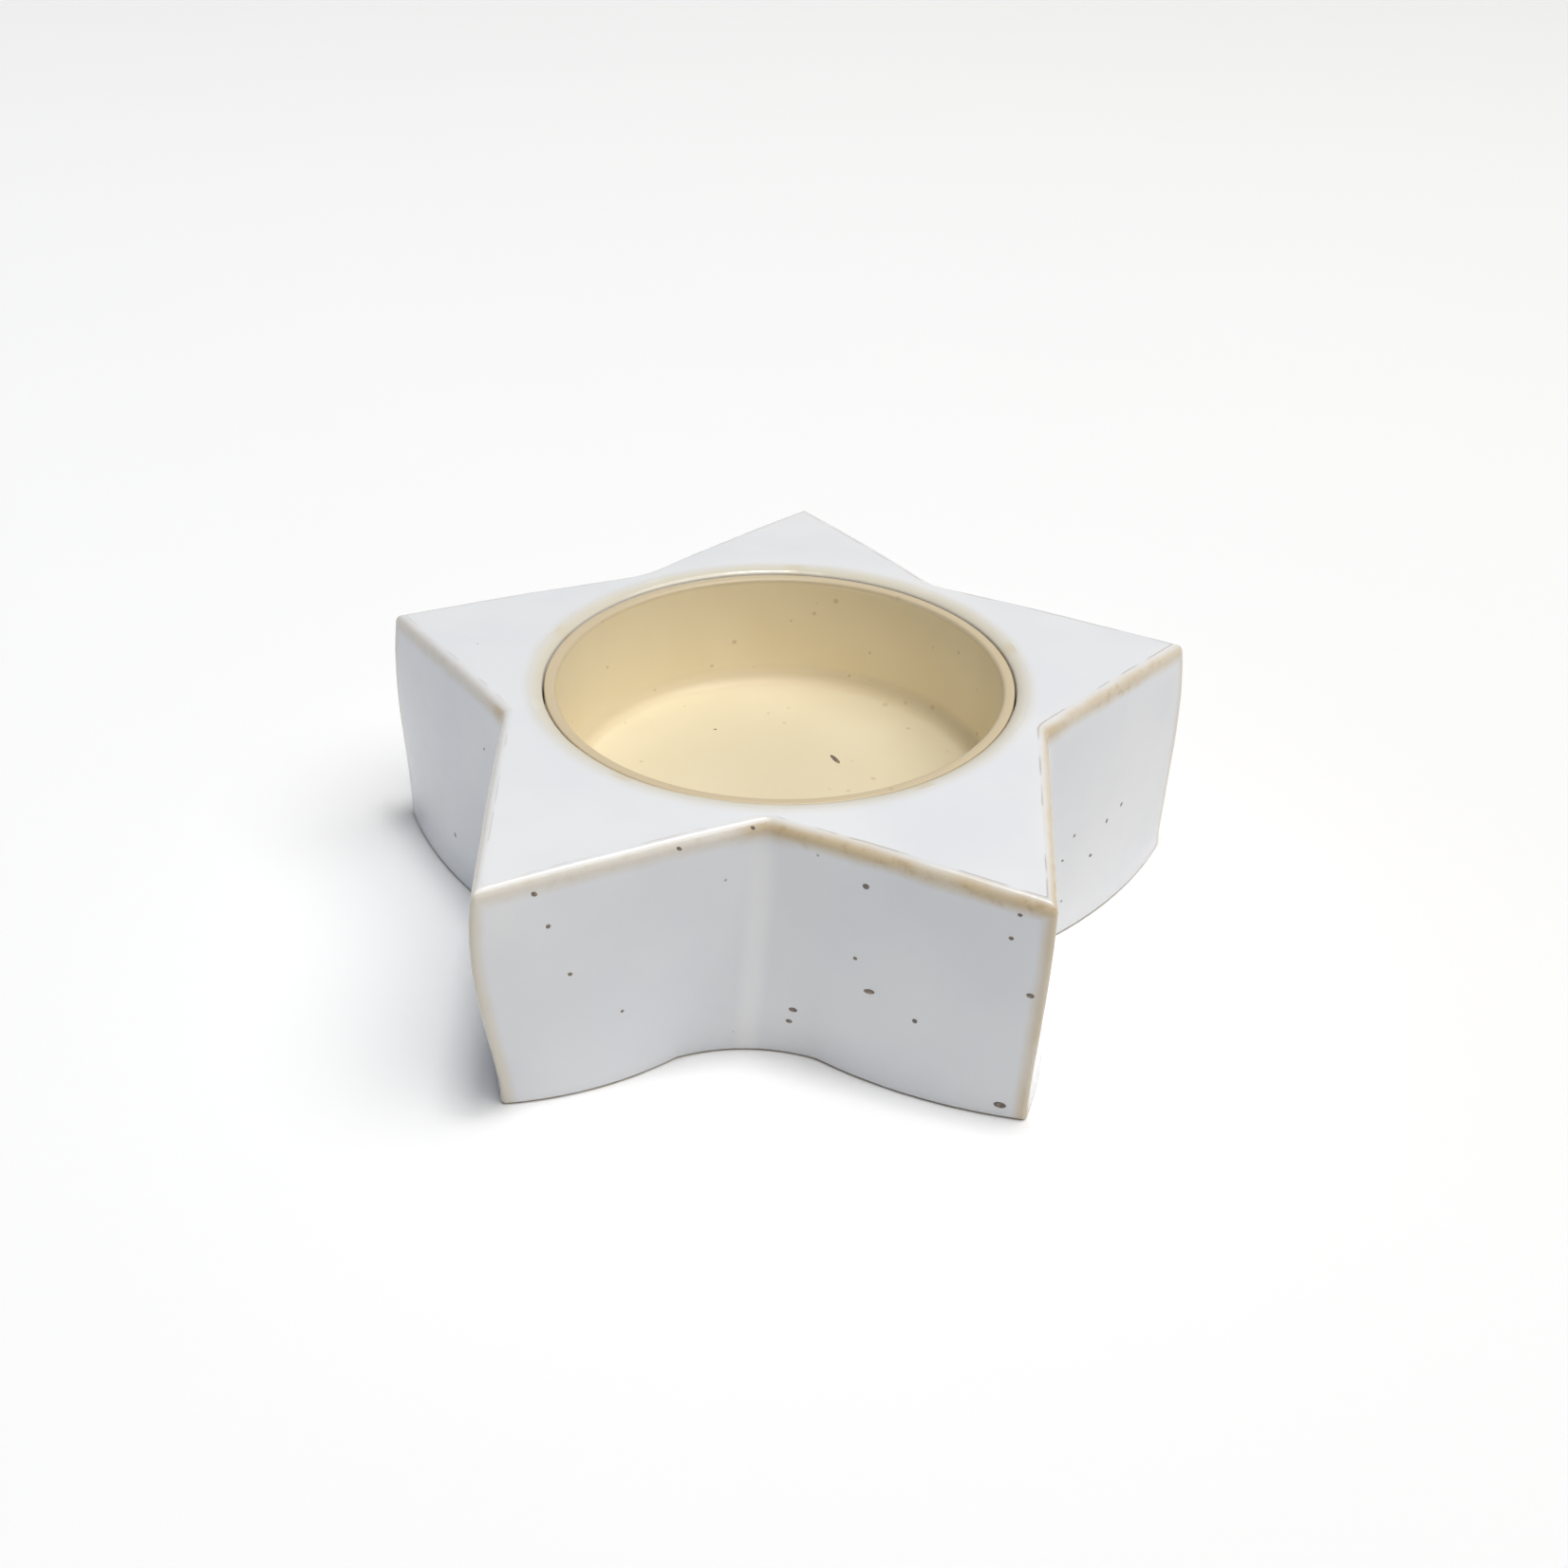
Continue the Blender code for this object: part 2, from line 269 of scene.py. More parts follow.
def outer_rings():
    """From the middle of the foot rim, up the wall and over the rounded top edge."""
    rings = []
    inner_foot, outer_foot = star_outline(0, WALL, 0.0), star_outline(0, FOOT_ROUND)
    for step in range(4):
        rings.append(ring([a.lerp(b, step / 4) for a, b in zip(inner_foot, outer_foot)], 0.0))
    for step in range(4):
        angle = math.pi / 2 * step / 4
        points = star_outline(0, FOOT_ROUND * (1 - math.sin(angle)))
        rings.append(ring(points, FOOT_ROUND * (1 - math.cos(angle))))
    start_heights = [top_height(point) - TOP_ROUND for point in star_outline(1)]
    half_arc = TOP_ROUND * math.pi / 4
    for step in range(WALL_ROWS + 1):
        lift = step / WALL_ROWS
        heights = [FOOT_ROUND + (high - FOOT_ROUND) * lift for high in start_heights]
        edge = [high - z + half_arc for high, z in zip(start_heights, heights)]
        rings.append(ring(star_outline(lift), heights, edge))
    for step in range(1, ROUND_ROWS + 1):
        angle = math.pi / 2 * step / ROUND_ROWS
        points = star_outline(1, TOP_ROUND * (1 - math.cos(angle)))
        heights = [top_height(point) - TOP_ROUND * (1 - math.sin(angle)) for point in points]
        rings.append(ring(points, heights, half_arc - TOP_ROUND * angle))
    return rings


def top_rings():
    """From the top edge in to the mouth, over its rounded rim and down the bore."""
    rings = []
    outline = star_outline(1, TOP_ROUND)
    rim_radius = BORE_RADIUS + RIM_WIDTH
    half_arc = TOP_ROUND * math.pi / 4
    rim_arc = RIM_WIDTH / 2
    for step in range(1, TOP_ROWS + 1):
        share = step / TOP_ROWS
        points = [point.lerp(point.normalized() * rim_radius, share) for point in outline]
        edge = [-half_arc - (a - b).length for a, b in zip(points, outline)]
        rim = [rim_arc + point.length - rim_radius for point in points]
        rings.append(ring(points, [top_height(point) for point in points], edge, rim))
    for step in range(1, ROUND_ROWS + 1):
        angle = math.pi / 2 * step / ROUND_ROWS
        radius = BORE_RADIUS + RIM_WIDTH * (1 - math.sin(angle))
        points = [point.normalized() * radius for point in outline]
        height = HEIGHT - RIM_DEPTH * (1 - math.cos(angle))
        rings.append(ring(points, height, FAR, rim_arc - RIM_WIDTH * math.sin(angle)))
    return rings


def inner_rings():
    """The bore's lower end, which lies under the top in an arm and under the cup in a valley, and the inside."""
    ceiling = HEIGHT - TOP_THICKNESS
    outline = star_outline(1, TOP_ROUND)
    inner = star_outline(1, WALL, 0.0)
    in_arm, in_valley = ceiling - BELOW_CEILING, LIP_TOP - BORE_LENGTH
    ends = [in_arm if point.length > MOUTH_RADIUS + CLEAR_OF_MOUTH else in_valley for point in inner]
    bore = [point.normalized() * BORE_RADIUS for point in outline]
    rings = []
    for share in (0.5, 1.0):
        heights = [HEIGHT - RIM_DEPTH + (end - HEIGHT + RIM_DEPTH) * share for end in ends]
        rings.append(ring(bore, heights, FAR, -FAR))
    inner_foot = star_outline(0, WALL, 0.0)
    for share in (1.0, 0.7, 0.4, 0.2):
        points = [low.lerp(high, end * share / ceiling) for low, high, end in zip(inner_foot, inner, ends)]
        rings.append(ring(points, [end * share for end in ends], FAR, -FAR))
    return rings


rings = outer_rings() + top_rings() + inner_rings()
print("rings in the star:", len(rings))

# %% [markdown]
# ## From rings to a mesh
# Neighbouring rings are joined with four-sided faces. The last ring joins the first, which makes the clay one
# closed skin with a hole through it. If its signed volume is negative, the faces look inwards and are turned round.

# %% Join the rings
def new_object(name, mesh):
    made = bpy.data.objects.new(name, mesh)
    bpy.context.scene.collection.objects.link(made)
    return made


def face_outwards(mesh):
    body = bmesh.new()
    body.from_mesh(mesh)
    if body.calc_volume(signed=True) < 0:
        bmesh.ops.reverse_faces(body, faces=body.faces)
    volume = body.calc_volume(signed=True) / MM**3 / 1000
    body.to_mesh(mesh)
    body.free()
    mesh.shade_smooth()
    return volume


def skin(name, rings, closed):
    """Faces between rings of as many points. A closed stack joins its last ring to its first."""
    around = len(rings[0])
    points = [(x * MM, y * MM, z * MM) for row in rings for x, y, z, *_ in row]
    faces = []
    for low in range(len(rings) if closed else len(rings) - 1):
        high = (low + 1) % len(rings)
        for place in range(around):
            after = (place + 1) % around
            corners = (low * around + place, low * around + after, high * around + after, high * around + place)
            faces.append(corners)
    mesh = bpy.data.meshes.new(name)
    mesh.from_pydata(points, [], faces)
    return mesh


def store(mesh, name, values):
    attribute = mesh.attributes.new(name, "FLOAT", "POINT")
    attribute.data.foreach_set("value", values)


star_mesh = skin("glazed_star", rings, closed=True)
store(star_mesh, "top_edge", [row[3] for one in rings for row in one])
store(star_mesh, "mouth_edge", [row[4] for one in rings for row in one])
for name, middles in (("from_tip", TIP_MIDDLES), ("from_valley", VALLEY_MIDDLES)):
    store(star_mesh, name, [d for one in rings for d in spacing_from(middles, [Vector(row[:2]) for row in one])])
store(star_mesh, "clay_shows", along_arms(CLAY_SHOWS) * len(rings))
print(f"clay in the star: {face_outwards(star_mesh):.1f} cm3")

# %% [markdown]
# ## Small tools for node trees
# Colour comes from shader nodes and the finer shapes from Geometry Nodes. One helper adds a node and fills its
# sockets with numbers or other nodes' outputs. Others do sums, blend colours, or start a group.

# %% Helpers for nodes and sums
def feed(tree, socket, value):
    """Links another node's output to a socket, or sets a plain value. A colour is given without its alpha."""
    if isinstance(value, bpy.types.NodeSocket):
        tree.links.new(value, socket)
    elif socket.type == "RGBA":
        socket.default_value = (*value, 1.0)
    else:
        socket.default_value = value


def node(tree, kind, settings=None, **sockets):
    """Adds a node and gives its outputs. Sockets are named with _ for a space, or numbered with a leading i."""
    made = tree.nodes.new(kind)
    for key, value in (settings or {}).items():
        setattr(made, key, value)
    for key, value in sockets.items():
        numbered = key[0] == "i" and key[1:].isdigit()
        feed(tree, made.inputs[int(key[1:]) if numbered else key.replace("_", " ")], value)
    return made.outputs


def maths(tree, operation, first, second=0.0, clamp=False):
    settings = {"operation": operation, "use_clamp": clamp}
    return node(tree, "ShaderNodeMath", settings, i0=first, i1=second)[0]


def times(tree, first, *others):
    for other in others:
        first = maths(tree, "MULTIPLY", first, other)
    return first


def plus(tree, first, second):
    return maths(tree, "ADD", first, second)


def minus(tree, first, second):
    return maths(tree, "SUBTRACT", first, second)


def ramp(tree, value, low, high, to_low=0.0, to_high=1.0):
    """A smooth step from one value to another."""
    sockets = dict(Value=value, From_Min=low, From_Max=high, To_Min=to_low, To_Max=to_high)
    return node(tree, "ShaderNodeMapRange", {"interpolation_type": "SMOOTHSTEP"}, **sockets)["Result"]


def noise(tree, vector, scale, detail=3.0, roughness=0.5):
    sockets = dict(Vector=vector, Scale=scale, Detail=detail, Roughness=roughness)
    return node(tree, "ShaderNodeTexNoise", **sockets)[0]


def split(tree, vector):
    """The x, y and z of a vector."""
    return node(tree, "ShaderNodeSeparateXYZ", Vector=vector)


# %% Helpers for colours and groups
def mix_colour(tree, factor, first, second):
    return node(tree, "ShaderNodeMix", {"data_type": "RGBA"}, i0=factor, i6=first, i7=second)[2]


def paint_over(tree, colour, *layers):
    """Lays each colour over the last where its mask shows."""
    for mask, over in layers:
        colour = mix_colour(tree, mask, colour, over)
    return colour


def group(tree, group_tree, **sockets):
    return node(tree, "ShaderNodeGroup", {"node_tree": group_tree}, **sockets)


FLOAT, WHOLE, VECTOR, COLOUR, GEOMETRY, MATERIAL, THING = (
    "NodeSocket" + kind for kind in ("Float", "Int", "Vector", "Color", "Geometry", "Material", "Object")
)


def new_group(name, kind, inputs, outputs):
    """A node group with named sockets, its inputs and its output node."""
    tree = bpy.data.node_groups.new(name, kind)
    for in_out, sockets in (("INPUT", inputs), ("OUTPUT", outputs)):
        for label, socket_type, *default in sockets:
            made = tree.interface.new_socket(label, in_out=in_out, socket_type=socket_type)
            if default:
                made.default_value = default[0]
    return tree, tree.nodes.new("NodeGroupInput").outputs, tree.nodes.new("NodeGroupOutput").inputs


def shader_group(name, sizes, outputs):
    """A shader group that reads a position, in millimetres, and these sizes."""
    inputs = [("Position", VECTOR)] + [(label, FLOAT, default) for label, default in sizes.items()]
    return new_group(name, "ShaderNodeTree", inputs, outputs)

# %% [markdown]
# ## A band that wanders
# The tan line under each edge is never ruled: it swells, thins and breaks. A noise texture shifts the distance to
# the edge before it is compared with the band's middle. The white glaze uses the group four times, each with its
# own widths, so it is built once.

# %% Shader group: wandering band
band_tree, band_in, band_out = shader_group(
    "wandering_band",
    {"Distance": 0.0, "Middle": 0.0, "Half width": 1.0, "Softness": 0.4, "Wander": 0.4, "Scale": 0.4},
    [("Mask", FLOAT)],
)
wobble = minus(band_tree, noise(band_tree, band_in["Position"], band_in["Scale"], 4.0), 0.5)
wobble = times(band_tree, wobble, times(band_tree, band_in["Wander"], 4.0))
offset = minus(band_tree, plus(band_tree, band_in["Distance"], wobble), band_in["Middle"])
offset = maths(band_tree, "ABSOLUTE", offset)
inner_side = minus(band_tree, band_in["Half width"], band_in["Softness"])
outer_side = plus(band_tree, band_in["Half width"], band_in["Softness"])
feed(band_tree, band_out["Mask"], ramp(band_tree, offset, inner_side, outer_side, 1.0, 0.0))

# %% [markdown]
# ## Specks in a glaze
# Iron grains burn through the glaze as tiny dark dots. A Voronoi texture drops one dot in each cell of a grid, and
# its random colour decides which cells keep theirs and how large it is.

# %% Shader group: fine specks
speck_tree, speck_in, speck_out = shader_group(
    "fine_specks", {"Spacing": 4.0, "Radius": 0.15, "Share": 0.4}, [("Mask", FLOAT)]
)
cells = node(
    speck_tree, "ShaderNodeTexVoronoi",
    Vector=speck_in["Position"], Scale=maths(speck_tree, "DIVIDE", 1.0, speck_in["Spacing"]),
)
parts = node(speck_tree, "ShaderNodeSeparateColor", Color=cells["Color"])
reach = times(speck_tree, cells["Distance"], speck_in["Spacing"])
size = times(speck_tree, speck_in["Radius"], plus(speck_tree, parts[1], 0.5))
dot = ramp(speck_tree, reach, times(speck_tree, size, 0.5), size, 1.0, 0.0)
kept = maths(speck_tree, "LESS_THAN", parts[0], speck_in["Share"])
feed(speck_tree, speck_out["Mask"], times(speck_tree, dot, kept))

# %% [markdown]
# ## The skin of a fired glaze
# Glaze is liquid glass that has set: broad soft waves left by the brush or the dip, and a fine orange peel on
# top. The group gives one height, in millimetres, for a Bump node to read.

# %% Shader group: glaze skin
skin_tree, skin_in, skin_out = shader_group("glaze_skin", {"Waves": 0.05, "Peel": 0.008}, [("Height", FLOAT)])
waves = times(skin_tree, noise(skin_tree, skin_in["Position"], 0.22, 2.0), skin_in["Waves"])
peel = times(skin_tree, noise(skin_tree, skin_in["Position"], 1.6, 2.0), skin_in["Peel"])
feed(skin_tree, skin_out["Height"], plus(skin_tree, waves, peel))

# %% [markdown]
# ## Bare clay
# Unglazed stoneware is matt and grainy: a sand-coloured body with lighter and darker grog. One group dresses the
# slab underneath, the wiped foot of the star and the outside of the cup.

# %% Shader group: clay grain
SAND, PALE_SAND, CHALK, GROG = (0.50, 0.385, 0.26), (0.62, 0.50, 0.36), (0.70, 0.60, 0.47), (0.30, 0.20, 0.12)

clay_tree, clay_in, clay_out = shader_group(
    "clay_grain", {"Grain": 1.4}, [("Color", COLOUR), ("Height", FLOAT)]
)
coarse = noise(clay_tree, clay_in["Position"], times(clay_tree, clay_in["Grain"], 0.12), 4.0)
fine = noise(clay_tree, clay_in["Position"], clay_in["Grain"], 5.0, 0.65)
grog = group(clay_tree, speck_tree, Position=clay_in["Position"], Spacing=1.5, Radius=0.28, Share=0.35)["Mask"]
body = paint_over(
    clay_tree, SAND,
    (ramp(clay_tree, coarse, 0.35, 0.65), PALE_SAND),
    (ramp(clay_tree, fine, 0.35, 0.75), CHALK),
    (grog, GROG),
)
feed(clay_tree, clay_out["Color"], body)
feed(clay_tree, clay_out["Height"], minus(clay_tree, times(clay_tree, fine, 0.09), grog))

# %% [markdown]
# ## Materials
# Each material starts the same way: object coordinates, turned into millimetres, feed every pattern, so the
# patterns stay with the pot. What never changes over a surface is set on the Principled shader itself.

# %% A material's common start
GLAZE_IOR = 1.5


def start_material(name, roughness):
    made = bpy.data.materials.new(name)
    made.use_nodes = True
    tree = made.node_tree
    shader = tree.nodes["Principled BSDF"]
    shader.inputs["Roughness"].default_value = roughness
    shader.inputs["IOR"].default_value = GLAZE_IOR
    coordinates = node(tree, "ShaderNodeTexCoord")["Object"]
    mapping = node(tree, "ShaderNodeMapping", Vector=coordinates, Scale=(1 / MM, 1 / MM, 1 / MM))
    return made, tree, shader.inputs, mapping[0]


def distance(tree, name):
    return node(tree, "ShaderNodeAttribute", {"attribute_name": name})["Fac"]


def bump(tree, shader, height, strength):
    """Heights are in millimetres, so the bump's own distance is one millimetre."""
    made = node(tree, "ShaderNodeBump", Strength=strength, Distance=MM, Height=height)
    feed(tree, shader["Normal"], made["Normal"])


# %% [markdown]
# ## White glaze
# The star's glaze is a glossy, half-opaque, slightly cool white. Under the top edges, down the tips and round the
# mouth it thins to tan, with a rusty heart where it is thinnest, and a thin dark line marks where the glaze drew
# back from the edge. The foot is wiped bare.

# %% White glaze: where it is thin, speckled or wiped off, and the painted highlight down each valley
white_glaze, tree, shader, spot = start_material("white_glaze", 0.2)
top_edge, mouth_edge, from_tip, from_valley, shows = (
    distance(tree, name) for name in ("top_edge", "mouth_edge", "from_tip", "from_valley", "clay_shows")
)


def band(away, middle, half_width, softness, wander, scale):
    sizes = dict(Middle=middle, Half_width=half_width, Softness=softness, Wander=wander, Scale=scale)
    return group(tree, band_tree, Position=spot, Distance=away, **sizes)["Mask"]


under_edge = band(top_edge, 0.45, 0.75, 0.6, 0.16, 0.3)
tip_line = band(from_tip, 0.0, 0.85, 0.6, 0.15, 0.2)
rim_band = band(mouth_edge, -0.3, 0.9, 1.0, 0.12, 0.2)
drawn_back = band(top_edge, -0.72, 0.08, 0.1, 0.06, 0.5)
on_wall = ramp(tree, top_edge, -0.4, 0.2)
patches = ramp(tree, noise(tree, spot, 0.13, 3.0), 0.35, 0.62)
patches = times(tree, plus(tree, times(tree, patches, 0.55), 0.45), shows)
cusp = times(tree, ramp(tree, from_valley, 0.8, 4.5, 1.0, 0.0), ramp(tree, top_edge, 0.5, 2.2, 1.0, 0.0), on_wall)
thin = times(tree, under_edge, plus(tree, times(tree, shows, 0.5), 0.5))
thin = maths(tree, "MAXIMUM", thin, times(tree, cusp, 0.9))
thin = maths(tree, "MAXIMUM", thin, times(tree, tip_line, on_wall, 0.8))
grain = ramp(tree, noise(tree, spot, 1.1, 5.0, 0.6), 0.48, 0.72)
rust = times(tree, under_edge, on_wall, times(tree, grain, patches))
drawn_back = times(
    tree, drawn_back,
    ramp(tree, noise(tree, spot, 0.25, 2.0), 0.44, 0.56, 0.03, 0.55),
    maths(tree, "ADD", shows, 0.2, clamp=True),
)
# A painted highlight: the glaze is made whiter down each valley crease, where the concave glaze catches the light.
valley_highlight = times(tree, ramp(tree, from_valley, 0.2, 1.5, 1.0, 0.0), ramp(tree, top_edge, 1.5, 3.5))
specks = group(tree, speck_tree, Position=spot, Spacing=3.4, Radius=0.13, Share=0.28)["Mask"]
foot_height = plus(tree, split(tree, spot)[2], times(tree, noise(tree, spot, 0.5, 3.0), 0.3))
foot_bare = ramp(tree, foot_height, 0.2, 0.3, 1.0, 0.0)

# %% White glaze: colour, gloss and relief
# The whitest of these, laid down the valley creases, is a painted highlight.
MILK, PALE_MILK, VALLEY_HIGHLIGHT_WHITE = (0.735, 0.745, 0.77), (0.785, 0.79, 0.80), (0.88, 0.88, 0.88)
PALE_TAN, DEEP_TAN, CUSP_TAN = (0.70, 0.64, 0.53), (0.62, 0.50, 0.32), (0.56, 0.42, 0.23)
RIM_TAN, RUST = (0.64, 0.585, 0.45), (0.46, 0.31, 0.17)
DRAWN_LINE, DARK_SPECK = (0.30, 0.23, 0.16), (0.30, 0.25, 0.20)

milk = ramp(tree, noise(tree, spot, 0.07, 3.0), 0.3, 0.7)
tan = mix_colour(tree, patches, PALE_TAN, DEEP_TAN)
colour = paint_over(
    tree, mix_colour(tree, milk, MILK, PALE_MILK),
    (times(tree, valley_highlight, 0.5), VALLEY_HIGHLIGHT_WHITE),
    (thin, mix_colour(tree, times(tree, cusp, 0.7), tan, CUSP_TAN)),
    (times(tree, rim_band, 0.85), RIM_TAN),
    (times(tree, rust, 0.6), RUST),
    (drawn_back, DRAWN_LINE),
    (times(tree, specks, 0.6), DARK_SPECK),
    (foot_bare, group(tree, clay_tree, Position=spot)["Color"]),
)
feed(tree, shader["Base Color"], colour)
gloss = plus(tree, times(tree, thin, 0.04), 0.13)
feed(tree, shader["Roughness"], maths(tree, "MAXIMUM", gloss, times(tree, foot_bare, 0.85)))
relief = group(tree, skin_tree, Position=spot, Waves=0.07, Peel=0.008)["Height"]
relief = minus(tree, relief, times(tree, thin, 0.04))
bump(tree, shader, plus(tree, relief, times(tree, specks, 0.02)), 0.6)
print("nodes in the white glaze:", len(tree.nodes))

# %% [markdown]
# ## Cream glaze
# Inside the cup the same clay wears a thin cream glaze. The wall stands in its own shade, so its colour is painted
# paler than the floor's as painted light, and the corner between them is painted a browner cream as painted shade.
# The lip is painted darker too, a painted shade over its lit top. Height above the floor is all the mixing needs.

# %% Cream glaze
# The wall creams are painted paler than the floor's, painted light against the wall's shade; the corner cream and
# the lip colour are painted shade.
WALL_CREAM_PAINTED_LIGHT, PALE_WALL_CREAM_PAINTED_LIGHT = (0.91, 0.80, 0.57), (0.93, 0.83, 0.61)
FLOOR_CREAM, PALE_FLOOR_CREAM = (0.68, 0.60, 0.42), (0.70, 0.625, 0.45)
CORNER_PAINTED_SHADE, LIP_PAINTED_SHADE, CUP_SPECK = (0.66, 0.56, 0.37), (0.52, 0.42, 0.27), (0.45, 0.32, 0.19)

cream_glaze, tree, shader, spot = start_material("cream_glaze", 0.3)
height = split(tree, spot)[2]
drift = times(tree, noise(tree, spot, 0.3, 2.0), 0.1)
on_wall = ramp(tree, plus(tree, height, drift), RECESS_FLOOR + 0.07, RECESS_FLOOR + 0.25)
# Painted shade: a darker cream in the corner where the wall meets the floor.
corner_shade = ramp(tree, height, RECESS_FLOOR + 0.6, RECESS_FLOOR + 2.2, 1.0, 0.0)
# Painted shade: the lip's lit top is darkened.
on_lip = ramp(tree, height, HEIGHT - 1.0, HEIGHT - 0.6)
under_cup = maths(tree, "LESS_THAN", height, RECESS_FLOOR - 0.3)
streaks_at = node(tree, "ShaderNodeVectorMath", {"operation": "MULTIPLY"}, i0=spot, i1=(1, 1, 0.6))[0]
streaks = ramp(tree, noise(tree, streaks_at, 0.2, 1.5, 0.4), 0.2, 0.8)
clouds = ramp(tree, noise(tree, spot, 0.12, 1.5, 0.4), 0.2, 0.8)
wall = mix_colour(tree, corner_shade, mix_colour(tree, streaks, WALL_CREAM_PAINTED_LIGHT, PALE_WALL_CREAM_PAINTED_LIGHT), CORNER_PAINTED_SHADE)
specks = group(tree, speck_tree, Position=spot, Spacing=1.9, Radius=0.24, Share=0.5)["Mask"]
colour = paint_over(
    tree, mix_colour(tree, clouds, FLOOR_CREAM, PALE_FLOOR_CREAM),
    (on_wall, wall),
    (times(tree, on_lip, 0.85), LIP_PAINTED_SHADE),
    (times(tree, specks, 0.4), CUP_SPECK),
    (under_cup, group(tree, clay_tree, Position=spot)["Color"]),
)
feed(tree, shader["Base Color"], colour)
feed(tree, shader["Roughness"], plus(tree, times(tree, streaks, 0.1), 0.42))
bump(tree, shader, group(tree, skin_tree, Position=spot, Waves=0.05, Peel=0.012)["Height"], 0.5)

# %% [markdown]
# ## Bare stoneware and iron
# The slab wears the clay grain alone. The melted iron spots are nearly black in the middle and brown where they
# bleed into the glaze.

# %% Bare stoneware and iron spots
IRON_BLACK, IRON_BROWN = (0.12, 0.10, 0.085), (0.28, 0.21, 0.15)

bare_stoneware, tree, shader, spot = start_material("bare_stoneware", 0.85)
clay = group(tree, clay_tree, Position=spot)
feed(tree, shader["Base Color"], clay["Color"])
bump(tree, shader, clay["Height"], 0.8)

iron_spot, tree, shader, spot = start_material("iron_spot", 0.35)
bleed = ramp(tree, noise(tree, spot, 3.0, 3.0), 0.4, 0.65)
feed(tree, shader["Base Color"], mix_colour(tree, bleed, IRON_BLACK, IRON_BROWN))
bump(tree, shader, noise(tree, spot, 4.0, 2.0), 0.03)
print("materials:", [made.name for made in (white_glaze, cream_glaze, bare_stoneware, iron_spot)])

# %% [markdown]
# ## Geometry Nodes on a mesh
# A Geometry Nodes modifier takes its sizes through named inputs. Python addresses them by identifier, before the
# object is first evaluated. The result is then copied into a plain mesh and the modifier goes, because what leaves
# this file has to be plain geometry.

# %% Run a tree and keep its result
def grow(obj, tree, **inputs):
    """Runs the tree on the object with these named inputs and leaves a plain mesh at the origin."""
    modifier = obj.modifiers.new(tree.name, "NODES")
    modifier.node_group = tree
    identifiers = {item.name: item.identifier for item in tree.interface.items_tree if item.in_out == "INPUT"}
    for key, value in inputs.items():
        modifier[identifiers[key.replace("_", " ")]] = value
    graph = bpy.context.evaluated_depsgraph_get()
    grown = bpy.data.meshes.new_from_object(obj.evaluated_get(graph), depsgraph=graph)
    obj.modifiers.clear()
    obj.data = grown
    grown.name = obj.name
    return grown


def geometry_tree(name, inputs):
    """A Geometry Nodes tree that takes a geometry, these inputs and the finish of what it makes."""
    sockets = [("Geometry", GEOMETRY), *inputs, ("Finish", MATERIAL)]
    return new_group(name, "GeometryNodeTree", sockets, [("Geometry", GEOMETRY)])


def finish_tree(tree, geometry, given, result):
    whole = node(tree, "GeometryNodeRealizeInstances", Geometry=geometry)[0]
    made = node(tree, "GeometryNodeSetMaterial", Geometry=whole, Material=given["Finish"])[0]
    feed(tree, result["Geometry"], made)


# %% [markdown]
# ## The touch of a hand
# Nothing made by hand is flat. This tree presses every surface in by a fraction of a millimetre, with two scales
# of noise: broad dents from fingers, and the finer drag of a sponge. It never presses outwards, so the pot stays
# inside its measured box, and it fades out at the foot, which was ground flat.

# %% Geometry Nodes tree: hand finish
hand, hand_in, hand_out = geometry_tree(
    "hand_finish", [("Dents", FLOAT, 0.0002), ("Drag", FLOAT, 0.00004), ("Flat below", FLOAT, 0.0)]
)
FADE_HEIGHT = 0.0015
where = node(hand, "GeometryNodeInputPosition")[0]
facing = node(hand, "GeometryNodeInputNormal")[0]
dents = times(hand, noise(hand, where, 110.0, 1.0), hand_in["Dents"])
drag = times(hand, noise(hand, where, 600.0, 2.0), hand_in["Drag"])
all_there = plus(hand, hand_in["Flat below"], FADE_HEIGHT)
fade = ramp(hand, split(hand, where)[2], hand_in["Flat below"], all_there)
press = times(hand, plus(hand, dents, drag), fade, -1.0)
inwards = node(hand, "ShaderNodeVectorMath", {"operation": "SCALE"}, Vector=facing, Scale=press)
pressed = node(
    hand, "GeometryNodeSetPosition", Geometry=hand_in["Geometry"], Offset=inwards[0]
)[0]
finish_tree(hand, pressed, hand_in, hand_out)

glazed_star = new_object("glazed_star", star_mesh)
grow(glazed_star, hand, Dents=0.00016, Drag=0.00003, Flat_below=0.0004, Finish=white_glaze)
print("glazed_star faces:", len(glazed_star.data.polygons))

# %% [markdown]
# ## The cup, thrown on a wheel
# A wheel-thrown shape is a profile turned about an axis, a rule that nodes can follow. A grid has one row for each
# point of the profile and one column for each step round the wheel, and every grid point is moved to its place.
# The potter's fingers leave faint rings, added as a wave along the wall. The profile is a chain of vertices made
# from straight runs and arcs.

# %% Profile of the cup
CUP_WALL = 1.0
CUP_FLOOR = 2.5
RECESS_FILLET = 1.9
INNER_LIP, OUTER_LIP = 0.35, 0.15
HEEL = 3.0
RING_OUTSIDE, RING_INSIDE = 13.0, 10.5
CUP_BORE = CUP_RADIUS - CUP_WALL
CUP_UNDERSIDE = RECESS_FLOOR - CUP_FLOOR
RING_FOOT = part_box("tealight_cup")[0].z / MM


def arc(x, z, radius, start, end, steps):
    angles = [math.radians(start + (end - start) * step / steps) for step in range(steps + 1)]
    return [(x + radius * math.cos(a), z + radius * math.sin(a)) for a in angles]


def run(start, end, steps):
    """Points on the way from start to end, without either."""
    return [
        (start[0] + (end[0] - start[0]) * step / steps, start[1] + (end[1] - start[1]) * step / steps)
        for step in range(1, steps)
    ]


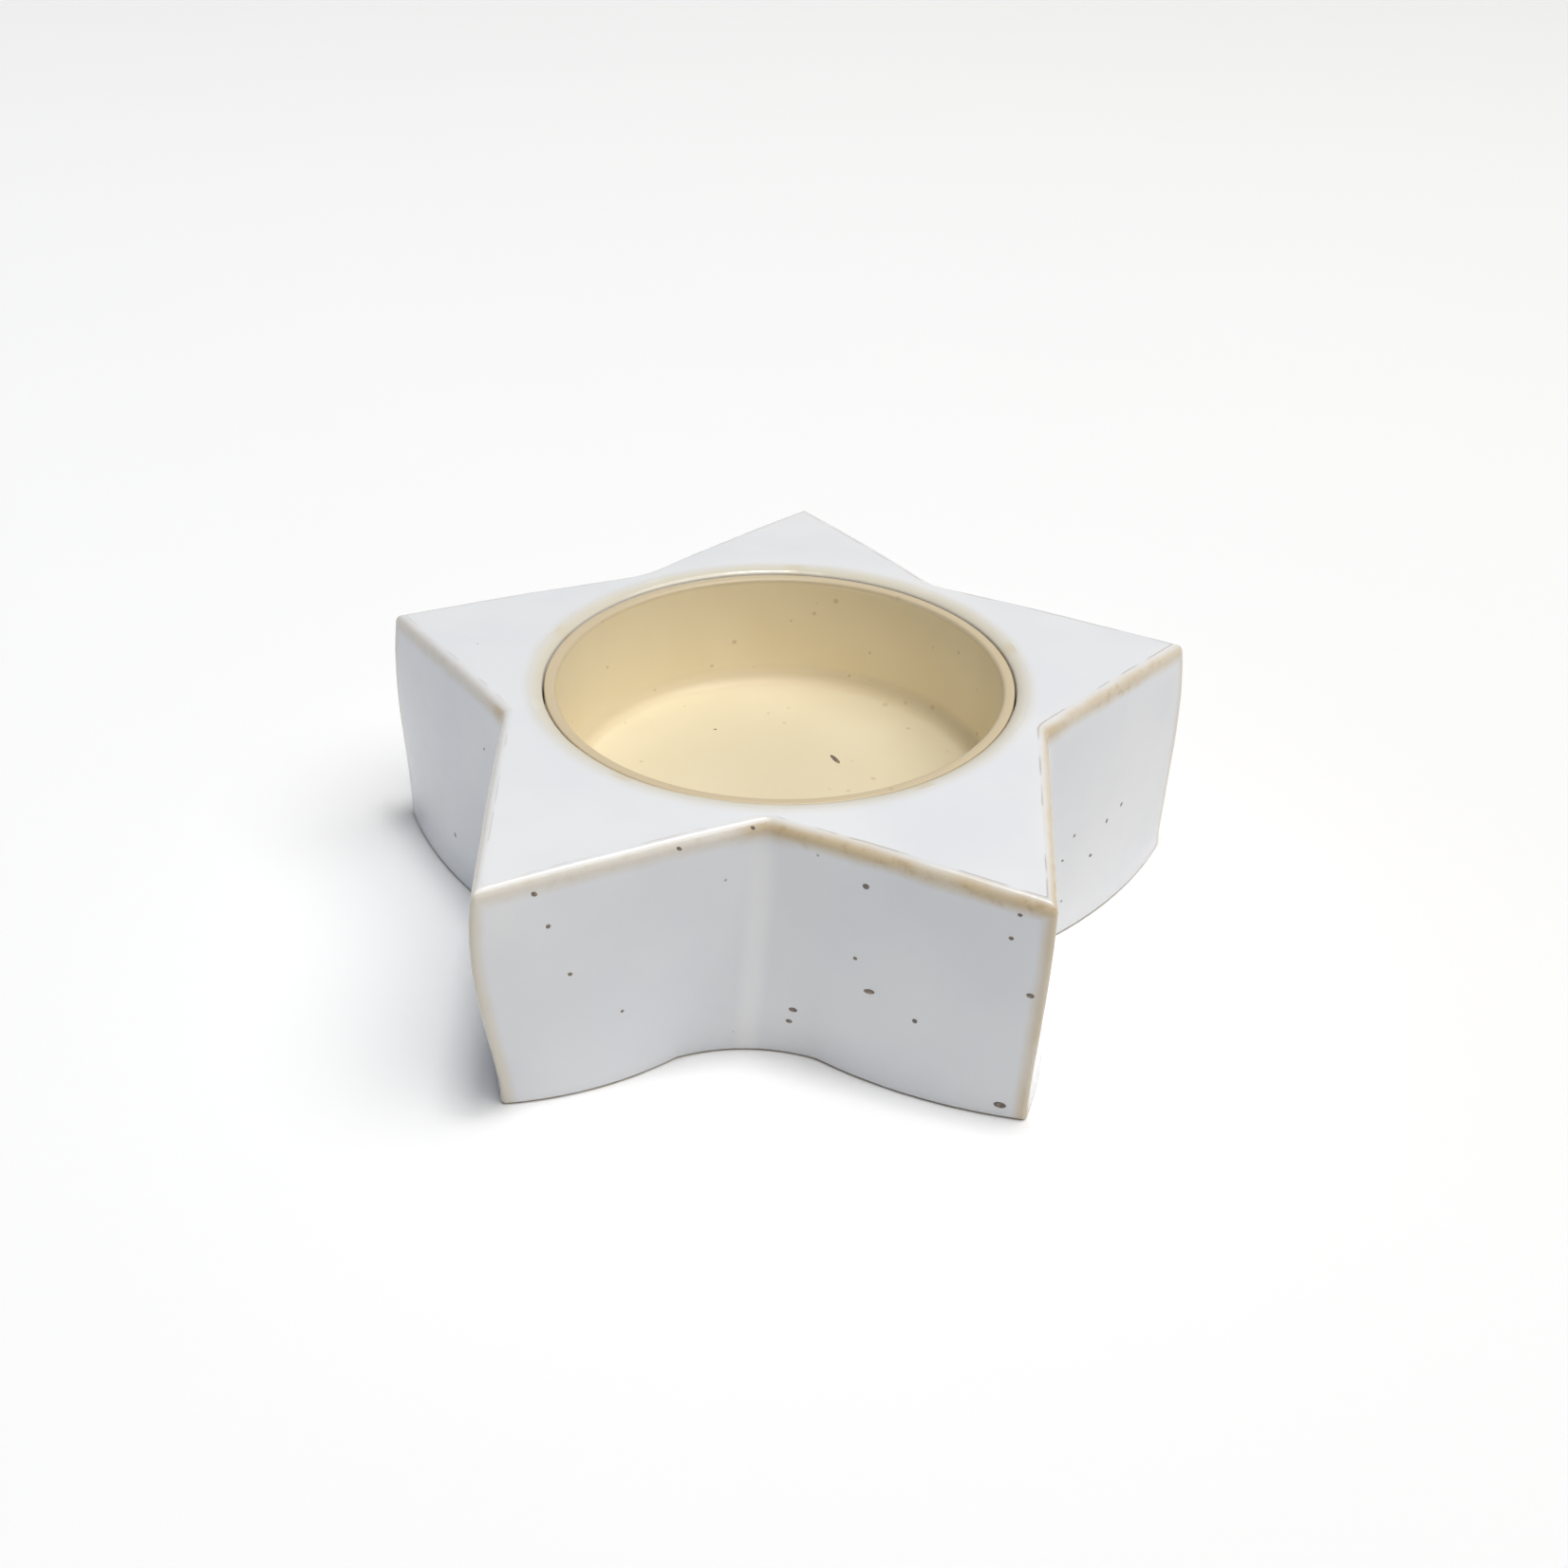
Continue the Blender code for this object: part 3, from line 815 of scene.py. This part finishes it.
fillet = arc(CUP_BORE - RECESS_FILLET, RECESS_FLOOR + RECESS_FILLET, RECESS_FILLET, -90, 0, 10)
lip = arc(CUP_BORE + INNER_LIP, LIP_TOP - INNER_LIP, INNER_LIP, 180, 90, 8)
lip += arc(CUP_RADIUS - OUTER_LIP, LIP_TOP - OUTER_LIP, OUTER_LIP, 90, 0, 4)
heel = arc(CUP_RADIUS - HEEL, CUP_UNDERSIDE + HEEL, HEEL, 0, -90, 8)
foot_ring = [
    (RING_OUTSIDE, CUP_UNDERSIDE), (RING_OUTSIDE, RING_FOOT), (RING_INSIDE, RING_FOOT), (RING_INSIDE, CUP_UNDERSIDE),
]
profile = [(0.0, RECESS_FLOOR)] + run((0.0, RECESS_FLOOR), fillet[0], 24) + fillet
profile += run(fillet[-1], lip[0], 26) + lip + run(lip[-1], heel[0], 6) + heel + run(heel[-1], foot_ring[0], 3)
for start, end in zip(foot_ring, foot_ring[1:]):
    profile += [start] + run(start, end, 4)
profile += [foot_ring[-1]] + run(foot_ring[-1], (0.0, CUP_UNDERSIDE), 5) + [(0.0, CUP_UNDERSIDE)]
profile_mesh = bpy.data.meshes.new("cup_profile")
profile_mesh.from_pydata([(x * MM, 0.0, z * MM) for x, z in profile], [], [])
print("points in the profile:", len(profile))

# %% Geometry Nodes tree: potter's wheel
wheel, wheel_in, wheel_out = geometry_tree(
    "potters_wheel",
    [
        ("Rows", WHOLE, 100), ("Steps", WHOLE, 240),
        ("Ring depth", FLOAT, 0.00004), ("Ring spacing", FLOAT, 0.0013),
    ],
)
FULL_TURN = 2 * math.pi
RING_MARGIN = 0.6
WELD = 1e-6
columns = plus(wheel, wheel_in["Steps"], 1.0)
clay_sheet = node(wheel, "GeometryNodeMeshGrid", Vertices_X=wheel_in["Rows"], Vertices_Y=columns)
index = node(wheel, "GeometryNodeInputIndex")[0]
row = maths(wheel, "FLOOR", maths(wheel, "DIVIDE", plus(wheel, index, 0.5), columns))
column = minus(wheel, index, times(wheel, row, columns))
turn = maths(wheel, "DIVIDE", times(wheel, column, FULL_TURN), wheel_in["Steps"])
position = node(wheel, "GeometryNodeInputPosition")[0]
sampled = node(
    wheel, "GeometryNodeSampleIndex", {"data_type": "FLOAT_VECTOR", "domain": "POINT"},
    Geometry=wheel_in["Geometry"], Value=position, Index=row,
)
along = split(wheel, sampled[0])

# %% Geometry Nodes tree: finger rings and the turned shape
spiral = plus(
    wheel, maths(wheel, "DIVIDE", along[2], wheel_in["Ring spacing"]),
    maths(wheel, "DIVIDE", column, wheel_in["Steps"]),
)
wave = maths(wheel, "SINE", times(wheel, spiral, FULL_TURN))
groove = maths(wheel, "ABSOLUTE", times(wheel, wave, wheel_in["Ring depth"]))
on_wall = maths(wheel, "GREATER_THAN", along[0], (CUP_BORE - RING_MARGIN) * MM)
radius = minus(wheel, along[0], times(wheel, groove, on_wall))
x = times(wheel, radius, maths(wheel, "COSINE", turn))
y = times(wheel, radius, maths(wheel, "SINE", turn))
turned_to = node(wheel, "ShaderNodeCombineXYZ", X=x, Y=y, Z=along[2])[0]
thrown = node(
    wheel, "GeometryNodeSetPosition", Geometry=clay_sheet["Mesh"], Position=turned_to
)[0]
sewn = node(wheel, "GeometryNodeMergeByDistance", Geometry=thrown, Distance=WELD)[0]
finish_tree(wheel, sewn, wheel_in, wheel_out)

cream_cup = new_object("cream_cup", profile_mesh)
grow(cream_cup, wheel, Rows=len(profile), Steps=240, Ring_depth=0.00003, Ring_spacing=0.0014, Finish=cream_glaze)
print(f"clay in the cup: {face_outwards(cream_cup.data):.1f} cm3, faces {len(cream_cup.data.polygons)}")

# %% [markdown]
# ## The slab that closes the foot
# The slab follows the inside of the wall with a hair of space, its edges eased with a wet finger. It is a stack
# of rings again, closed at the middle of its two faces. A Boolean drills the small hole that lets hot air out.

# %% The slab
SLAB_ROUND = 0.4
FACE_ROWS = 12
VENT_RADIUS = 2.0
VENT_REACH = 19.0
DRILL_LENGTH = 8.0


def slab_rings():
    inset = WALL + JOINT_GAP
    top_lift = BASE_TOP / HEIGHT
    low, high = star_outline(0, inset, 0.0), star_outline(top_lift, inset, 0.0)
    low_face, high_face = star_outline(0, inset + SLAB_ROUND, 0.0), star_outline(top_lift, inset + SLAB_ROUND, 0.0)
    rings = [ring([p * (step / FACE_ROWS) for p in low_face], 0.0) for step in range(1, FACE_ROWS + 1)]
    for share in (0.3, 0.7):
        easing = share * math.pi / 2
        points = [a.lerp(b, math.sin(easing)) for a, b in zip(low_face, low)]
        rings.append(ring(points, SLAB_ROUND * (1 - math.cos(easing))))
    for share in (0.0, 0.25, 0.5, 0.75, 1.0):
        height = SLAB_ROUND + (BASE_TOP - 2 * SLAB_ROUND) * share
        rings.append(ring([a.lerp(b, share) for a, b in zip(low, high)], height))
    rings += [ring([p * (step / FACE_ROWS) for p in high_face], BASE_TOP) for step in range(FACE_ROWS, 0, -1)]
    return rings


slab_mesh = skin("bare_base", slab_rings(), closed=False)
body = bmesh.new()
body.from_mesh(slab_mesh)
body.verts.ensure_lookup_table()
count = len(body.verts)
for first, height in ((0, 0.0), (count - AROUND, BASE_TOP)):
    middle = body.verts.new((0.0, 0.0, height * MM))
    body.verts.ensure_lookup_table()
    for place in range(AROUND):
        body.faces.new((body.verts[first + place], middle, body.verts[first + (place + 1) % AROUND]))
bmesh.ops.recalc_face_normals(body, faces=body.faces)
body.to_mesh(slab_mesh)
body.free()
bare_base = new_object("bare_base", slab_mesh)
face_outwards(slab_mesh)

# %% The vent
drill_mesh = bpy.data.meshes.new("drill")
drill = bmesh.new()
width = VENT_RADIUS * MM
bmesh.ops.create_cone(drill, cap_ends=True, segments=48, radius1=width, radius2=width, depth=DRILL_LENGTH * MM)
bmesh.ops.translate(drill, vec=(0, VENT_REACH * MM, BASE_TOP / 2 * MM), verts=drill.verts)
drill.to_mesh(drill_mesh)
drill.free()
drill_bit = new_object("drill", drill_mesh)
hole = bare_base.modifiers.new("vent", "BOOLEAN")
hole.operation, hole.object = "DIFFERENCE", drill_bit
grow(bare_base, hand, Dents=0.00008, Drag=0.00004, Flat_below=-0.001, Finish=bare_stoneware)
bpy.data.objects.remove(drill_bit)
print(f"clay in the slab: {face_outwards(bare_base.data):.1f} cm3")

# %% [markdown]
# ## Iron spots
# Larger iron grains melt right through and stand as tiny beads in the glaze. A handful sit on the two front walls
# and on the floor of the cup, where a ray finds the glaze under each. The rest are scattered over the other walls
# by Geometry Nodes with a fixed seed. One small flattened bead of a few dozen faces is repeated at every point.

# %% Seats of the spots on the front walls
# Seen from the front: across from the middle, height above the table, radius, and how much longer than wide
FRONT_SPOTS = (
    (-17.1, 20.7, 0.17, 1.3), (-16.2, 17.6, 0.17, 1.0), (-14.8, 12.6, 0.15, 1.2), (-11.1, 7.5, 0.13, 1.0),
    (-6.5, 22.3, 0.13, 1.6), (7.9, 19.5, 0.22, 1.1), (7.3, 12.3, 0.15, 1.0), (8.5, 9.4, 0.21, 2.0),
    (12.2, 7.8, 0.19, 1.0), (2.4, 4.8, 0.2, 1.6), (2.1, 3.5, 0.17, 1.5), (19.5, 20.3, 0.14, 1.2),
    (19.0, 18.0, 0.15, 1.2), (20.8, 13.0, 0.2, 1.4), (19.3, 1.3, 0.25, 1.8), (-1.0, 22.9, 0.12, 1.4),
)
# On the cup, from above: across, back from the middle, radius, how much longer than wide, degrees turned
FLOOR_SPOTS = (
    (5.0, 4.9, 0.2, 3.6, -60), (-6.3, 9.5, 0.1, 1.4, 20), (9.2, -3.1, 0.1, 1.2, 0), (-2.8, -7.4, 0.12, 1.5, 40),
)
WALL_SPOT_TURN = -15
FAR_OFF = 0.1
# The bead's edge sinks out of sight in the glaze, so it is made this much wider
BEAD_SPREAD = 1.2

def surface_tree(obj):
    mesh = obj.data
    return BVHTree.FromPolygons([vertex.co for vertex in mesh.vertices], [face.vertices for face in mesh.polygons])


star_surface, cup_surface = surface_tree(glazed_star), surface_tree(cream_cup)
forwards, downwards = Vector((0, 1, 0)), Vector((0, 0, -1))
landings = []
for across, height, radius, longer in FRONT_SPOTS:
    hit = star_surface.ray_cast(Vector((across * MM, -FAR_OFF, height * MM)), forwards)
    landings.append((hit, radius, longer, WALL_SPOT_TURN))
for across, behind, radius, longer, turned in FLOOR_SPOTS:
    hit = cup_surface.ray_cast(Vector((across * MM, behind * MM, FAR_OFF)), downwards)
    landings.append((hit, radius, longer, turned))
seat_mesh = bpy.data.meshes.new("iron_specks")
seat_mesh.from_pydata([hit[0] for hit, *_ in landings], [], [])
store(seat_mesh, "spot_radius", [BEAD_SPREAD * radius * MM for _, radius, _, _ in landings])
store(seat_mesh, "spot_length", [longer for _, _, longer, _ in landings])
store(seat_mesh, "spot_turn", [math.radians(turned) for *_, turned in landings])
attribute = seat_mesh.attributes.new("spot_facing", "FLOAT_VECTOR", "POINT")
attribute.data.foreach_set("vector", [part for hit, *_ in landings for part in hit[1]])
print("spots placed by hand:", len(landings))

# %% Geometry Nodes tree: iron specks
iron, iron_in, iron_out = geometry_tree(
    "iron_specks",
    [
        ("Star", THING), ("Per square metre", FLOAT, 9000.0),
        ("Least radius", FLOAT, 0.0001), ("Most radius", FLOAT, 0.0002), ("Seed", WHOLE, 4),
    ],
)
BEAD_FLATNESS = 0.16


def live(sockets):
    """The sockets that count for the node's data type."""
    return [socket for socket in sockets if socket.enabled]


def read(name, kind="FLOAT"):
    return live(node(iron, "GeometryNodeInputNamedAttribute", {"data_type": kind}, Name=name))[0]


def keep(geometry, name, value, kind="FLOAT"):
    settings = {"data_type": kind, "domain": "POINT"}
    return node(
        iron, "GeometryNodeStoreNamedAttribute", settings, Geometry=geometry, Name=name, Value=value
    )[0]


def random_between(low, high, seed_offset):
    made = iron.nodes.new("FunctionNodeRandomValue")
    made.data_type = "FLOAT"
    for socket, value in zip(live(made.inputs), (low, high)):
        feed(iron, socket, value)
    feed(iron, made.inputs["Seed"], plus(iron, iron_in["Seed"], float(seed_offset)))
    return live(made.outputs)[0]


star = node(iron, "GeometryNodeObjectInfo", Object=iron_in["Star"])["Geometry"]
normal = node(iron, "GeometryNodeInputNormal")[0]
position = node(iron, "GeometryNodeInputPosition")[0]
_, normal_y, normal_z = split(iron, normal)
not_front = maths(iron, "GREATER_THAN", normal_y, -0.85)
upright = maths(iron, "LESS_THAN", maths(iron, "ABSOLUTE", normal_z), 0.5)
outside = maths(iron, "LESS_THAN", read("top_edge"), 50.0)
raised = maths(iron, "GREATER_THAN", split(iron, position)[2], 0.001)
scatter = node(
    iron, "GeometryNodeDistributePointsOnFaces", Mesh=star,
    Selection=times(iron, not_front, upright, times(iron, outside, raised)),
    Density=iron_in["Per square metre"], Seed=iron_in["Seed"],
)
points = keep(scatter["Points"], "spot_facing", scatter["Normal"], "FLOAT_VECTOR")
points = keep(points, "spot_radius", random_between(iron_in["Least radius"], iron_in["Most radius"], 1))
points = keep(points, "spot_length", random_between(1.0, 1.8, 2))
points = keep(points, "spot_turn", random_between(0.0, math.pi, 3))

# %% Geometry Nodes tree: a bead at every seat
joined = iron.nodes.new("GeometryNodeJoinGeometry")
given = node(iron, "GeometryNodeMeshToPoints", Mesh=iron_in["Geometry"])[0]
for source in (given, points):
    feed(iron, joined.inputs[0], source)
bead = node(iron, "GeometryNodeMeshIcoSphere", Radius=1.0, Subdivisions=2)["Mesh"]
facing = read("spot_facing", "FLOAT_VECTOR")
aligned = node(iron, "FunctionNodeAlignRotationToVector", {"axis": "Z"}, Vector=facing)[0]
twist = node(iron, "FunctionNodeAxisAngleToRotation", Axis=(0, 0, 1), Angle=read("spot_turn"))[0]
turned = node(
    iron, "FunctionNodeRotateRotation", {"rotation_space": "LOCAL"}, Rotation=aligned, Rotate_By=twist
)[0]
width = read("spot_radius")
length, depth = times(iron, width, read("spot_length")), times(iron, width, BEAD_FLATNESS)
stretch = node(iron, "ShaderNodeCombineXYZ", X=length, Y=width, Z=depth)[0]
beads = node(
    iron, "GeometryNodeInstanceOnPoints",
    Points=joined.outputs[0], Instance=bead, Rotation=turned, Scale=stretch,
)[0]
finish_tree(iron, beads, iron_in, iron_out)

iron_specks = new_object("iron_specks", seat_mesh)
grow(iron_specks, iron, Star=glazed_star, Per_square_metre=9000.0, Seed=4, Finish=iron_spot)
iron_specks.data.shade_smooth()
print("iron_specks faces:", len(iron_specks.data.polygons))

# %% [markdown]
# ## Hand the pieces to the frame
# All pieces ride on the one body. The star, the cup and the slab each stand for their CAD node, which is hidden.
# The specks are extra.

# %% Pieces on the frame
for piece, stands_for, finish in (
    (glazed_star, "star_shell", "white_glaze"),
    (cream_cup, "tealight_cup", "cream_glaze"),
    (bare_base, "base_plate", "bare_stoneware"),
    (iron_specks, None, "white_glaze"),
):
    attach(piece, "root")
    if stands_for:
        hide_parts(stands_for)

# %% [markdown]
# ## Table, light and camera
# A pale table and soft light from above suit a white pot. A wide patch of bright ceiling does most of the work, with
# a faint fill from the front. A small window overhead draws the crisp streaks on the rounded edges, and a cool panel
# on the left against a neutral one on the right turns the walls gently. The camera and the gloss see a white sky,
# but the pot is lit by a dimmer one, so its walls keep their shape.

# %% Table
TABLE_HALF = 4.0
TABLE_TOP = -0.00005
TABLE_GREY, PALE_TABLE_GREY = (0.925, 0.925, 0.925), (0.935, 0.935, 0.935)

table_mesh = bpy.data.meshes.new("table")
corners = [(x * TABLE_HALF, y * TABLE_HALF, TABLE_TOP) for x, y in ((-1, -1), (1, -1), (1, 1), (-1, 1))]
table_mesh.from_pydata(corners, [], [(0, 1, 2, 3)])
table = new_object("table", table_mesh)
table_finish, tree, shader, spot = start_material("table_finish", 0.7)
feed(tree, shader["Base Color"], mix_colour(tree, noise(tree, spot, 0.02, 2.0), TABLE_GREY, PALE_TABLE_GREY))
shader["Specular IOR Level"].default_value = 0.0
table_mesh.materials.append(table_finish)


# %% Lights
def panel(name, direction, away, size, colour, power):
    """A flat light that looks at the pot from this direction."""
    light = bpy.data.lights.new(name, "AREA")
    light.shape, (light.size, light.size_y) = "RECTANGLE", size
    light.color, light.energy = colour, power
    made = new_object(name, light)
    towards = Vector(direction).normalized()
    made.location = towards * away + Vector((0, 0, HEIGHT / 2 * MM))
    made.rotation_euler = towards.to_track_quat("Z", "Y").to_euler()


def sky_light(name, direction, angle, colour, power):
    """Light from a round patch of the ceiling far away, as wide as the angle, so the table is lit evenly."""
    light = bpy.data.lights.new(name, "SUN")
    light.angle, light.color, light.energy = math.radians(angle), colour, power
    new_object(name, light).rotation_euler = Vector(direction).to_track_quat("Z", "Y").to_euler()


sky_light("ceiling", (0.33, -0.15, 1.0), 55, (1.0, 0.995, 0.985), 2.3)
sky_light("front_fill", (-0.2, -0.8, 1.0), 40, (1.0, 0.98, 0.95), 0.12)
panel("window_panel", (0.10, -0.02, 1.0), 0.8, (0.11, 0.16), (1.0, 0.99, 0.98), 1.9)
panel("right_panel", (0.95, -0.25, 0.3), 0.7, (0.4, 0.4), (1.0, 0.99, 0.97), 0.08)
panel("left_panel", (-0.95, -0.15, 0.3), 0.7, (0.4, 0.4), (0.35, 0.6, 1.0), 0.35)

# %% Sky
GLOSS_SEES = 0.7

world = bpy.data.worlds.new("studio")
bpy.context.scene.world = world
world.use_nodes = True
sky = world.node_tree
dim = sky.nodes["Background"]
dim.inputs["Color"].default_value = (0.93, 0.96, 1.0, 1.0)
dim.inputs["Strength"].default_value = 0.03
white = node(sky, "ShaderNodeBackground", Color=(1, 1, 1), Strength=1.0)
path = node(sky, "ShaderNodeLightPath")
seen = maths(sky, "ADD", path["Is Camera Ray"], times(sky, path["Is Glossy Ray"], GLOSS_SEES), clamp=True)
chooser = node(sky, "ShaderNodeMixShader", i0=seen, i1=dim.outputs[0], i2=white[0])
feed(sky, sky.nodes["World Output"].inputs["Surface"], chooser[0])
bpy.context.scene.view_settings.view_transform = "Standard"

# %% [markdown]
# ## Camera
# The camera looks down at the pot from a little under thirty degrees, close enough for the front arms to loom. It
# is built from where it stands, what it aims at and a slight roll, as a tripod is set.

# %% Camera
ELEVATION = math.radians(28.864)
STAND_OFF = 184.7
SWING = math.radians(2.18)
ROLL = math.radians(1.02)
AIM = Vector((1.168, -18.073, HEIGHT))
LENS = 48.92
SENSOR_WIDTH = 36.0
NEAREST = 0.01

level = math.cos(ELEVATION)
eye = Vector((math.sin(SWING) * level, -math.cos(SWING) * level, math.sin(ELEVATION)))
eye = eye * STAND_OFF + Vector((0, 0, HEIGHT))
back = (eye - AIM).normalized()
right = Vector((0, 0, 1)).cross(back).normalized()
up = back.cross(right)
rolled_right = right * math.cos(ROLL) + up * math.sin(ROLL)
rolled_up = up * math.cos(ROLL) - right * math.sin(ROLL)
camera_data = bpy.data.cameras.new("camera")
camera_data.lens, camera_data.sensor_width, camera_data.clip_start = LENS, SENSOR_WIDTH, NEAREST
camera = new_object("camera", camera_data)
for column, axis in enumerate((rolled_right, rolled_up, back, eye * MM)):
    for line in range(3):
        camera.matrix_world[line][column] = axis[line]
bpy.context.scene.camera = camera
print("camera stands at", [round(v, 4) for v in camera.matrix_world.translation])
